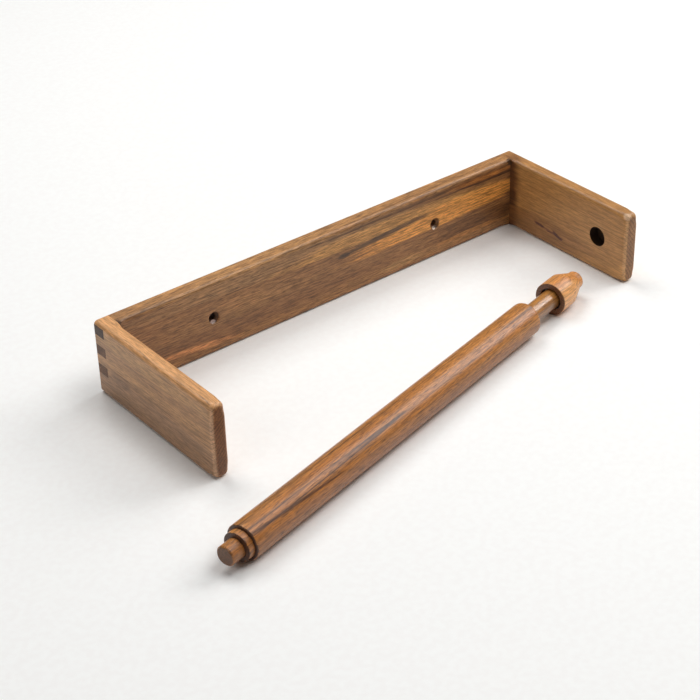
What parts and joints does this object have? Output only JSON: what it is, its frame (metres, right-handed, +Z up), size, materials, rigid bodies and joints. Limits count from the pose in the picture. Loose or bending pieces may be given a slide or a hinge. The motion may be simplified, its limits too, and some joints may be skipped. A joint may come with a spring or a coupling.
{
  "type": "toilet paper holder",
  "caption": "Wooden wall holder for a paper roll: a finger-jointed frame of board and arms, and a loose sprung roller lying in front.",
  "frame": {"origin": "middle of the board's back face, halfway between its two screw holes", "axes": "+X along the board from the fixed end to the plunger end, +Y into the wall, +Z up"},
  "size_m": [0.3602, 0.1844, 0.0474],
  "materials": {
    "board_wood": "oiled teak, satin",
    "arm_wood": "oiled teak, satin",
    "roller_wood": "oiled teak, satin",
    "bush_wood": "oiled end grain",
    "varnished_dowel": "glossy varnish",
    "cap_wood": "oiled teak, satin",
    "spring_steel": "bright wire",
    "plated_steel": "zinc plated"
  },
  "bodies": {
    "frame": {"back_board": "board_wood", "left_arm": "arm_wood", "right_arm": "arm_wood"},
    "roller": {"barrel": "roller_wood", "guide_bush": "bush_wood", "spring": "spring_steel"},
    "spring_seat": {"stop_washer": "plated_steel"},
    "plunger": {"plunger_rod": "varnished_dowel", "end_cap": "cap_wood", "stop_screw": "plated_steel"}
  },
  "joints": [
    {"name": "roller_spin", "type": "hinge", "parent": "frame", "child": "roller", "pos_m": [-0.1866, -0.1745, -0.01335], "axis": [0.9724, 0.2334, 0], "continuous": true},
    {"name": "plunger_slide", "type": "slide", "parent": "roller", "child": "spring_seat", "axis": [0.9724, 0.2334, 0], "range_m": [-0.0254, 0], "stiffness_N_per_m": 350, "springref_m": 0.02, "deforming": ["spring"]},
    {"name": "plunger_spin", "type": "hinge", "parent": "spring_seat", "child": "plunger", "pos_m": [0.04453, -0.11901, -0.01335], "axis": [0.9724, 0.2334, 0], "continuous": true}
  ]
}
